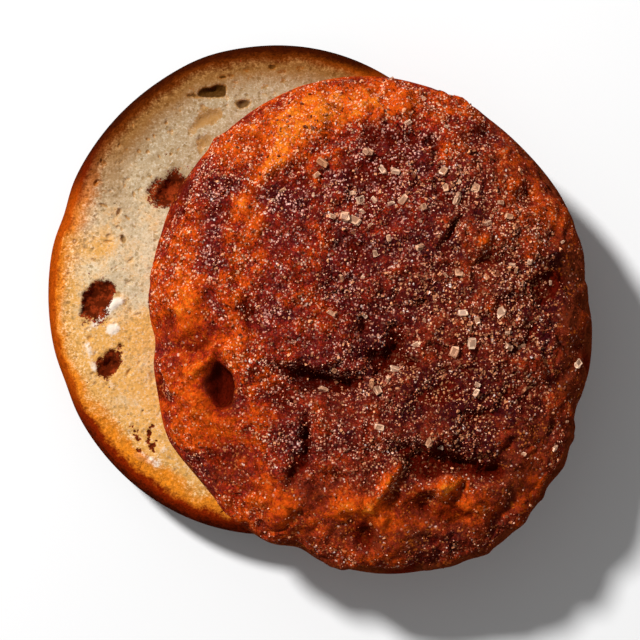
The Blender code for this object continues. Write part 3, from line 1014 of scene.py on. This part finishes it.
def crease_depth(x, y):
    """Depth of the groove: a steep bell of the distance from an arc that opens towards its left end."""
    reach_x = x - CREASE_CENTRE[0]
    reach_y = y - CREASE_CENTRE[1]
    bearing = np.degrees(np.arctan2(reach_y, reach_x))
    half_span = (CREASE_TO - CREASE_FROM) / 2.0
    from_middle = turn_between(bearing, CREASE_FROM + half_span)
    opening = ((half_span - from_middle) / (2.0 * half_span)).clip(0.0, 1.0)
    radius = CREASE_RADIUS + CREASE_OPENING * opening
    run_out = np.radians((np.abs(from_middle) - half_span).clip(0.0)) * radius
    spot = np.stack((x, y), -1)
    wander = 1.3 * rough(spot, 5.0, 3, 31)
    uneven = 1.0 + 0.45 * noise(spot, 6.0, 37)
    off_line = np.hypot(np.hypot(reach_x, reach_y) - radius - wander, run_out)
    return CREASE_DEPTH * uneven * np.exp(-((off_line / (CREASE_HALF_WIDTH * uneven)) ** 2.2))


def crown_surface(settings):
    """The dome's points and finish values on a grid.

    Reach is the outline's radius times sin(slope) to the power 2/n, and height the rise times cos(slope) to
    the same power; relief, lumps, wrinkles and grain are then added along the normal.
    """
    power = 2.0 / ROUNDNESS
    place = disc_grid(settings.cells)
    share = np.abs(place)
    slope = share.clip(0.0, 1.0) * np.pi / 2.0
    bearing = np.degrees(np.angle(place))
    reach = outline_radius(bearing, CROWN_OUTLINE) * np.sin(slope) ** power
    height = CROWN_GIRTH_HEIGHT + settings.rise / MM * np.cos(slope).clip(0.0) ** power
    plan = reach * np.exp(1j * np.radians(bearing))
    base = np.stack((plan.real, plan.imag, height), -1)
    x, y, spot = base[..., 0], base[..., 1], base[..., :2]
    drift_x, drift_y = (
        RELIEF_DRIFT * noise(spot, RELIEF_DRIFT_WIDTH, salt) + 0.6 * noise(spot, 2.2, salt + 2)
        for salt in (81, 82)
    )
    named = bells(x + drift_x, y + drift_y, CROWN_RELIEF) - crease_depth(x, y)
    bent = base + np.stack([LUMP_DRIFT * noise(base, LUMP_DRIFT_WIDTH, salt) for salt in (1, 2, 3)], -1)
    lumps = settings.lump / MM * rough(bent, LUMP_WIDTH, 3, 4)
    wrinkles = settings.wrinkle / MM * (ridges(bent, WRINKLE_WIDTH, 2, 9) - 0.45)
    furrowed = smooth_step(-0.25, 0.45, noise(base, FURROWED_WIDTH, 17))
    wrinkles = wrinkles - settings.furrow / MM * furrowed * ridges(bent, FURROW_WIDTH, 2, 19) ** 5
    bare = bells(x, y, CROWN_BARE).clip(0.0, 0.85)
    wrinkles = wrinkles * smooth_step(1.0, 0.72, share) * (1.0 - 0.9 * bare)
    coat = crown_coat(spot, share, bearing, bare)
    grain = settings.coat / MM * coat * (rough(base, COAT_GRAIN_WIDTH, 2, 14, 0.7) + 0.25)
    fade = smooth_step(1.0, 0.88, share)
    points = base + grid_normals(base) * ((named + lumps + wrinkles + grain) * fade)[..., None]
    # How sunk each place is in the relief and between lumps: the finish paints shade there.
    hollow = bells(x, y, CROWN_RELIEF[:1]) - named
    sunk = smooth_step(0.6, 2.6, hollow) + 0.5 * smooth_step(0.4, 1.6, -lumps - wrinkles)
    values = {
        "bake_and_shading": crown_bake_and_shading(x, y, base, share, lumps + wrinkles - 0.5 * hollow),
        "coat": coat,
        "sunk": sunk.clip(0.0, 1.0),
        "brown": smooth_step(-14.0, 20.0, x - 0.6 * y + 8.0 * noise(spot, 9.0, 45)),
    }
    return points, values


def crown_coat(spot, share, bearing, bare):
    """How thick the sugar lies: thin on the flank, and bare on the low flank from the right to the front."""
    patch = rough(spot, 7.0, 3, 21)
    flank = smooth_step(0.985, 0.86, share + 0.02 * patch)
    bare_side = np.exp(-((turn_between(bearing, -35.0) / 75.0) ** 4.0))
    bare_band = 1.0 - bare_side * smooth_step(0.80, 0.90, share + 0.03 * patch)
    return ((0.35 + 0.65 * flank) * bare_band * (0.85 + 0.15 * patch - bare)).clip(0.0, 1.0)


def crown_bake_and_shading(x, y, base, share, lumps):
    """How dark the crust is: named patches and blotches, painted shade on the near-right flank and in the
    hollows, and painted highlight on the paler lumps between them.
    """
    patches = BAKE_LEVEL + bells(x, y, CROWN_BAKE_AND_SHADING) + 0.20 * rough(base, 6.0, 3, 41)
    # Painted shade: the near-right flank, which faces away from the key light, is laid darker.
    near_right = np.exp(-((turn_between(np.degrees(np.arctan2(y, x)), -42.0) / 88.0) ** 4))
    flank = FLANK_SHADE * smooth_step(0.80, 0.95, share) * near_right
    # Painted shade and highlight: darker in hollows, paler on lumps.
    return (patches + flank - 0.13 * lumps).clip(-0.2, 1.1)


def section_rings(girth, edge, lip, top, girth_height):
    """Rings from the cut edge out to the girth: the lip closes with the square of the way."""
    way = 1.0 - np.arange(1, LIP_STEPS + 1) / LIP_STEPS
    return [((girth - lip * part**2) / edge, girth_height + (top - girth_height) * part) for part in way]


def heel_section(top):
    """Rings from the cut edge to the girth and under in a quarter superellipse to the base."""
    girth = (HEEL_OUTLINE[0] + HEEL_OUTLINE[1]) / 2.0
    edge = girth - HEEL_LIP
    rings = section_rings(girth, edge, HEEL_LIP, top, HEEL_GIRTH_HEIGHT)
    slope = np.arange(1, FOOT_STEPS + 1) / FOOT_STEPS * np.pi / 2.0
    power = 2.0 / ROUNDNESS
    share = HEEL_BASE_SHARE + (1.0 - HEEL_BASE_SHARE) * np.cos(slope).clip(0.0) ** power
    heights = HEEL_GIRTH_HEIGHT * (1.0 - np.sin(slope) ** power)
    return rings + list(zip(share * girth / edge, heights))


def crown_section():
    """Rings from the girth in to the cut edge below it."""
    radius = (CROWN_OUTLINE[0] + CROWN_OUTLINE[1]) / 2.0
    way = np.arange(1, LIP_STEPS + 1) / LIP_STEPS
    return list(zip(1.0 - CROWN_LIP * way**2 / radius, CROWN_GIRTH_HEIGHT * (1.0 - way)))


def pocket_share(x, y, pocket, salt):
    """Distance from a pocket's middle as a share of its ragged outline."""
    spot = np.stack((x, y), -1)
    wander = rough(spot, 1.1 * pocket[3] + 0.5, 3, salt, 0.6)
    return oval(x, y, *pocket[:5]) * (1.0 + pocket[7] * wander)


def heel_surface(settings, top):
    """The cut face's points and finish values on a grid that is closest where the crown leaves it bare."""
    place = disc_grid(settings.cells, GRID_LEAN * np.exp(1j * math.radians(GRID_LEAN_BEARING)))
    bearing = np.degrees(np.angle(place))
    share = np.abs(place).clip(0.0, 1.0)
    radius = outline_radius(bearing, HEEL_OUTLINE) - HEEL_LIP
    plan = radius * share * np.exp(1j * np.radians(bearing))
    x, y = plan.real, plan.imag
    spot = np.stack((x, y), -1)
    height = settings.wave / MM * rough(spot, WAVE_WIDTH, 2, 51)
    height = height + settings.crumb_grain / MM * rough(spot, CRUMB_GRAIN_WIDTH, 2, 61, 0.6)
    fine_sink, pore = fine_pores(x, y, settings.pores)
    stain = np.zeros(x.shape)
    for number, pocket in enumerate(HEEL_POCKETS):
        far = pocket_share(x, y, pocket, 70 + number)
        height = height - pocket[5] * smooth_step(1.15, 0.10, far)
        if pocket[6] >= STAINED_FROM:
            stain = np.maximum(stain, smooth_step(1.40, 0.45, far))
        else:
            # Pores without cinnamon are laid darker: painted shade in pores, tan in the blotches.
            pore = np.maximum(pore, smooth_step(1.20, 0.75, far) * min(1.0, pocket[6] * 1.9))
    flour = bells(x, y, HEEL_FLOUR)
    height = height + 0.4 * flour - fine_sink
    sheet = np.stack((x, y, top + height * smooth_step(1.0, 0.97, share)), -1)
    values = heel_values(spot, bearing, HEEL_LIP + radius * (1.0 - share))
    values |= {"pore": pore * smooth_step(1.0, 0.96, share), "stain": stain, "flour": flour}
    return sheet, values


def fine_pores(x, y, number):
    """Depth of fine oval pores strewn over the crescent that the crown leaves bare, and how dark each
    is laid as painted shade.
    """
    draw = np.random.default_rng(PORE_SEED)
    depth = np.zeros(x.shape)
    tint = np.zeros(x.shape)
    bearings = np.radians(draw.uniform(*CRESCENT, number))
    middles = CRESCENT_REACH * np.sqrt(draw.uniform(0.22, 1.0, number)) * np.exp(1j * bearings)
    sizes = draw.gamma(3.0, 0.095, number).clip(0.16, 0.85)
    for middle, size in zip(middles, sizes):
        near = (np.abs(x - middle.real) < 2.0 * size) & (np.abs(y - middle.imag) < 2.0 * size)
        stretch = draw.uniform(1.0, 1.7)
        lie = draw.uniform(0.0, 180.0)
        far = oval(x[near], y[near], middle.real, middle.imag, size * stretch, size / stretch, lie)
        depth[near] = np.maximum(depth[near], 0.6 * size * smooth_step(1.2, 0.4, far))
        tint[near] = np.maximum(tint[near], draw.uniform(0.05, 0.45) * smooth_step(1.25, 0.6, far))
    return depth, tint


def browned_width(bearing):
    """How far in from the side the browning reaches, in millimetres, by bearing."""
    near_left = 4.2 * np.exp(-((turn_between(bearing, 242.0) / 30.0) ** 4))
    left = 1.3 * np.exp(-((turn_between(bearing, 176.0) / 40.0) ** 4))
    far_left = 3.0 * np.exp(-((turn_between(bearing, 161.0) / 15.0) ** 4))
    return 5.4 + near_left + left + far_left


def heel_values(spot, bearing, inset):
    """Finish values of the heel: toast deepens towards the near side and the edge."""
    cloud = rough(spot, 9.0, 3, 91)
    x, y = spot[..., 0], spot[..., 1]
    toast = 0.40 - 0.0140 * y + 0.16 * cloud + bells(x, y, HEEL_TOAST) + 0.30 * np.exp(-inset / 6.0)
    return {
        "toast": toast.clip(-0.2, 1.3),
        "inset": (inset / browned_width(bearing) + 0.05 * cloud * (inset > 0.0)).clip(0.0, 2.0),
        "burn": heel_burn(bearing),
        "glow": np.exp(-((turn_between(bearing, 212.0) / 66.0) ** 8)),
    }


def heel_burn(bearing):
    """How burnt the side is: dark at the far side and the near left, orange on the left."""
    far_side = np.exp(-((turn_between(bearing, 110.0) / 44.0) ** 6))
    near_left = 0.95 * np.exp(-((turn_between(bearing, 244.0) / 36.0) ** 4))
    hidden = 0.45 * np.exp(-((turn_between(bearing, 0.0) / 60.0) ** 4))
    return (0.06 + 0.94 * far_side + near_left + hidden).clip(0.0, 1.0)


# ---------------------------------------------------------------- sugar


def scattered(points, weight, number, draw):
    """Places and normals on a grid: cells are drawn by area times weight, and then a place in each."""
    a, b, c, d = points[:-1, :-1], points[:-1, 1:], points[1:, :-1], points[1:, 1:]
    cross = np.cross(d - a, c - b)
    area = np.linalg.norm(cross, axis=-1)
    chance = (area * weight[:-1, :-1]).ravel()
    cell = draw.choice(chance.size, number, p=chance / chance.sum())
    u, v = draw.random((2, number, 1))
    a, b, c, d = (corner.reshape(-1, 3)[cell] for corner in (a, b, c, d))
    place = (1 - v) * ((1 - u) * a + u * b) + v * ((1 - u) * c + u * d)
    return place, (cross / area[..., None]).reshape(-1, 3)[cell]


def lying_axes(normals, tilt, draw):
    """Three axes for each grain: its upright is the normal with some tilt, turned at random."""
    number = len(normals)
    upright = normals + tilt * draw.normal(size=(number, 3))
    upright /= np.linalg.norm(upright, axis=1, keepdims=True)
    along = np.cross(upright, draw.normal(size=(number, 3)))
    along /= np.linalg.norm(along, axis=1, keepdims=True)
    return np.stack((along, np.cross(upright, along), upright), axis=1)


def grain_template(kind):
    """Corners, faces and clear corners of one grain, from -1 to 1: a lozenge, a cube or a bevelled crystal.

    The crystal's faces have an inner ring of corners, which are the clear ones.
    """
    shape = bmesh.new()
    if kind == "lozenge":
        tips = ((1, 0, 0), (0, 1, 0), (-1, 0, 0), (0, -1, 0), (0, 0, 1), (0, 0, -1))
        corners = [shape.verts.new(tip) for tip in tips]
        for first in range(4):
            second = (first + 1) % 4
            shape.faces.new((corners[first], corners[second], corners[4]))
            shape.faces.new((corners[second], corners[first], corners[5]))
    else:
        bmesh.ops.create_cube(shape, size=2.0)
    outer = len(shape.verts)
    if kind == "crystal":
        bmesh.ops.bevel(shape, geom=shape.edges[:], offset=0.20, segments=1, affect="EDGES")
        broad = sorted(shape.faces, key=lambda face: -face.calc_area())[:6]
        outer = len(shape.verts)
        bmesh.ops.inset_individual(shape, faces=broad, thickness=0.22)
    bmesh.ops.triangulate(shape, faces=shape.faces[:])
    shape.verts.index_update()
    points = np.array([vertex.co[:] for vertex in shape.verts])
    faces = np.array([[vertex.index for vertex in face.verts] for face in shape.faces])
    shape.free()
    return points, faces, (np.arange(len(points)) >= outer).astype(float)


def make_grains(name, kind, places, axes, sizes, uneven, evenness, draw):
    """One mesh of all grains of a kind: template corners times size, jittered, turned to the axes and moved.

    Tones are random numbers to the power of the evenness: the higher it is, the more grains are dark.
    """
    corners, faces, inner = grain_template(kind)
    number = len(places)
    local = corners * sizes[:, None, :] * (1.0 + uneven * draw.uniform(-1.0, 1.0, (number, len(corners), 3)))
    points = places[:, None, :] + np.einsum("gcj,gjk->gck", local, axes)
    joined = (faces + len(corners) * np.arange(number)[:, None, None]).reshape(-1, 3)
    mesh = make_mesh(name, points.reshape(-1, 3), joined, smooth=False)
    tone = np.repeat(draw.random(number) ** evenness, len(corners))
    inside = np.tile(inner, number)
    tone = tone * (1.0 - 0.35 * inside) + draw.uniform(-0.22, 0.22, tone.size) * (tone + 0.2)
    set_values(mesh, "tone", tone.clip(0.0, 1.0))
    set_values(mesh, "inner", inside)
    return mesh


# ---------------------------------------------------------------- operators

MODELLED = {}


def crown_model(scene):
    """The crown's surface, worked out once and kept for the sugar."""
    if "crown" not in MODELLED:
        MODELLED["crown"] = crown_surface(scene.bagel_crown)
    return MODELLED["crown"]


class MakeCrown(bpy.types.Operator):
    """Make the upper half with its sugared crust"""

    bl_idname = "bagel.crown"
    bl_label = "Crown"

    def execute(self, context):
        settings = context.scene.bagel_crown
        sheet, values = crown_model(context.scene)
        points, faces, cap = closed_below(sheet, crown_section())
        place = middle_of("crown", CROWN_OUTLINE)
        mesh = make_mesh("crown_bread", points + place, faces, cap)
        below = len(points) - sheet.size // 3
        border = grid_border(len(sheet))
        rings = below // len(border)
        for name, value in values.items():
            edge = smoothed(value.ravel()[border])
            set_values(mesh, name, np.concatenate((value.ravel(), np.tile(edge, rings))))
        make_piece(mesh, crown_crust(settings), "crown")
        return {"FINISHED"}


class MakeHeel(bpy.types.Operator):
    """Make the lower half with its cut face"""

    bl_idname = "bagel.heel"
    bl_label = "Heel"

    def execute(self, context):
        settings = context.scene.bagel_heel
        low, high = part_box("heel")
        top = (high.z - low.z) / MM
        sheet, values = heel_surface(settings, top)
        section = heel_section(top)
        points, faces, cap = closed_below(sheet, section)
        place = middle_of("heel", HEEL_OUTLINE)
        mesh = make_mesh("heel_bread", points + place, faces, cap)
        border = grid_border(len(sheet))
        way = 1.0 - np.arange(1, len(section) + 1) / LIP_STEPS
        for name, value in values.items():
            edge = np.tile(value.ravel()[border], len(section))
            if name == "inset":
                edge = edge * np.repeat(way.clip(0.0) ** 2, len(border))
            set_values(mesh, name, np.concatenate((value.ravel(), edge)))
        make_piece(mesh, heel_bread(settings), "heel")
        return {"FINISHED"}


class MakeSugar(bpy.types.Operator):
    """Strew the crown with sugar of four kinds"""

    bl_idname = "bagel.sugar"
    bl_label = "Sugar"

    def execute(self, context):
        settings = context.scene.bagel_sugar
        sheet, values = crown_model(context.scene)
        bake_and_shading, sunk = values["bake_and_shading"], values["sunk"]
        middle = middle_of("crown", CROWN_OUTLINE)
        draw = np.random.default_rng(SUGAR_SEED)
        above_girth = smooth_step(CROWN_GIRTH_HEIGHT + 0.5, CROWN_GIRTH_HEIGHT + 6.0, sheet[..., 2])
        coat = values["coat"] * above_girth
        dark_coat = coat * smooth_step(0.30, 0.60, bake_and_shading)
        rich = coat**2 * (0.30 + bells(sheet[..., 0], sheet[..., 1], SUGAR_DRIFTS))
        fine, medium = settings.fine, settings.medium
        kinds = (
            ("brown", "lozenge", fine, settings.fine_count, settings.brown, settings.amber, dark_coat, 1.2),
            ("light", "lozenge", fine, settings.light_count, settings.amber, settings.cream, coat**3.2, 1.2),
            ("medium", "cube", medium, settings.medium_count, settings.umber, settings.pale, rich, 2.6),
        )
        for name, kind, size, number, dark, light, weight, evenness in kinds:
            places, normals = scattered(sheet, weight * (1.0 - 0.8 * sunk), number, draw)
            axes = lying_axes(normals, GRAIN_TILT, draw)
            sizes = size / MM * draw.uniform(*GRAIN_SCALE, (number, 3))
            places = places + middle + normals * (0.15 * size / MM)
            mesh = make_grains("sugar_" + name, kind, places, axes, sizes, GRAIN_UNEVEN, evenness, draw)
            make_piece(mesh, sugar_finish("sugar_" + name, dark, light))
        self.crystals(settings, sheet, middle, bake_and_shading, coat, draw)
        return {"FINISHED"}

    def crystals(self, settings, sheet, middle, bake_and_shading, coat, draw):
        """The single crystals at their spots, then the strewn ones."""
        flat = sheet.reshape(-1, 3)
        normals = grid_normals(sheet).reshape(-1, 3)
        nearest = [np.hypot(flat[:, 0] - x, flat[:, 1] - y).argmin() for x, y in CRYSTAL_SPOTS]
        upper = smooth_step(-18.0, 20.0, sheet[..., 0] + sheet[..., 1])
        weight = coat**2 * bake_and_shading.clip(0.0) * upper
        strewn, strewn_normals = scattered(sheet, weight, settings.coarse_count, draw)
        places = np.concatenate((flat[nearest], strewn))
        normals = np.concatenate((normals[nearest], strewn_normals))
        number = len(places)
        single_scale = draw.uniform(*SINGLE_SCALE, len(nearest))
        scale = np.concatenate((single_scale, draw.uniform(*STREWN_SCALE, len(strewn))))
        width = draw.uniform(*CRYSTAL_WIDTH, number)
        height = draw.uniform(*CRYSTAL_HEIGHT, number)
        sizes = settings.coarse / MM * scale[:, None] * np.stack((np.ones(number), width, height), 1)
        axes = lying_axes(normals, CRYSTAL_TILT, draw)
        places = places + middle + normals * (0.5 * sizes[:, 2:])
        mesh = make_grains("sugar_coarse", "crystal", places, axes, sizes, CRYSTAL_UNEVEN, 0.7, draw)
        shade = deepened(settings.pale, 0.7)
        make_piece(mesh, sugar_finish("sugar_coarse", shade, settings.clear, CRYSTAL_CLEARNESS))


class MakeStage(bpy.types.Operator):
    """Make the floor, the lights and the camera"""

    bl_idname = "bagel.stage"
    bl_label = "Stage"

    def execute(self, context):
        settings = context.scene.bagel_stage
        self.floor(settings)
        self.lights(settings)
        self.camera(context.scene)
        context.scene.view_settings.view_transform = "Standard"
        return {"FINISHED"}

    def floor(self, settings):
        side = FLOOR_REACH
        low = cad_box[0].z / MM
        corners = np.array(((-side, -side, low), (side, -side, low), (side, side, low), (-side, side, low)))
        mesh = make_mesh("floor", corners, np.array(((0, 1, 2, 3),)), smooth=False)
        floor = bpy.data.objects.new("floor", mesh)
        bpy.context.scene.collection.objects.link(floor)
        mesh.materials.append(plain_finish("floor", settings.floor, 0.9))

    def lights(self, settings):
        world = bpy.data.worlds.new("studio")
        world.use_nodes = True
        world.node_tree.nodes["Background"].inputs["Strength"].default_value = settings.fill
        world.node_tree.nodes["Background"].inputs["Color"].default_value = (1.0, 1.0, 1.0, 1.0)
        bpy.context.scene.world = world
        self.lamp("key", settings.key, settings.key_bearing, settings.key_height, KEY_SIZE)
        self.lamp("front_fill", FRONT_SHARE * settings.key, FRONT_BEARING, FRONT_HEIGHT, FRONT_SIZE)

    def lamp(self, name, power, bearing, height, size):
        """A round lamp that shines at the origin from a bearing and a height in degrees."""
        light = bpy.data.lights.new(name, "AREA")
        light.energy = power
        light.shape = "DISK"
        light.size = size
        lamp = bpy.data.objects.new(name, light)
        turn, lift = math.radians(bearing), math.radians(height)
        way = Vector((math.cos(turn) * math.cos(lift), math.sin(turn) * math.cos(lift), math.sin(lift)))
        lamp.location = way * LAMP_DISTANCE
        lamp.rotation_euler = way.to_track_quat("Z", "Y").to_euler()
        bpy.context.scene.collection.objects.link(lamp)

    def camera(self, scene):
        """A camera that looks straight down from above the cut face."""
        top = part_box("heel")[1].z
        heel = middle_of("heel", HEEL_OUTLINE)
        data = bpy.data.cameras.new("camera")
        data.lens = LENS
        data.sensor_width = SENSOR
        camera = bpy.data.objects.new("camera", data)
        x = (heel[0] + CAMERA_FROM_HEEL[0]) * MM
        y = (heel[1] + CAMERA_FROM_HEEL[1]) * MM
        camera.location = (x, y, top + CAMERA_HEIGHT)
        scene.collection.objects.link(camera)
        scene.camera = camera


class BagelPanel(bpy.types.Panel):
    """The bagel's pieces and their sizes and colours"""

    bl_idname = "VIEW3D_PT_bagel"
    bl_label = "Bagel"
    bl_space_type = "VIEW_3D"
    bl_region_type = "UI"
    bl_category = "Bagel"

    def draw(self, context):
        for operator, group in STEPS:
            box = self.layout.box()
            box.operator(operator.bl_idname)
            settings = getattr(context.scene, group)
            for name in settings.bl_rna.properties.keys():
                if name not in ("rna_type", "name"):
                    box.prop(settings, name)


STEPS = (
    (MakeStage, "bagel_stage"),
    (MakeHeel, "bagel_heel"),
    (MakeCrown, "bagel_crown"),
    (MakeSugar, "bagel_sugar"),
)
GROUPS = {
    "bagel_stage": StageSettings,
    "bagel_heel": HeelSettings,
    "bagel_crown": CrownSettings,
    "bagel_sugar": SugarSettings,
}


def register():
    for name, group in GROUPS.items():
        bpy.utils.register_class(group)
        setattr(bpy.types.Scene, name, bpy.props.PointerProperty(type=group))
    for operator, _ in STEPS:
        bpy.utils.register_class(operator)
    bpy.utils.register_class(BagelPanel)


def unregister():
    bpy.utils.unregister_class(BagelPanel)
    for operator, _ in reversed(STEPS):
        bpy.utils.unregister_class(operator)
    for name, group in reversed(GROUPS.items()):
        delattr(bpy.types.Scene, name)
        bpy.utils.unregister_class(group)


def main():
    register()
    bpy.ops.bagel.stage()
    bpy.ops.bagel.heel()
    bpy.ops.bagel.crown()
    bpy.ops.bagel.sugar()


if __name__ == "__main__":
    main()
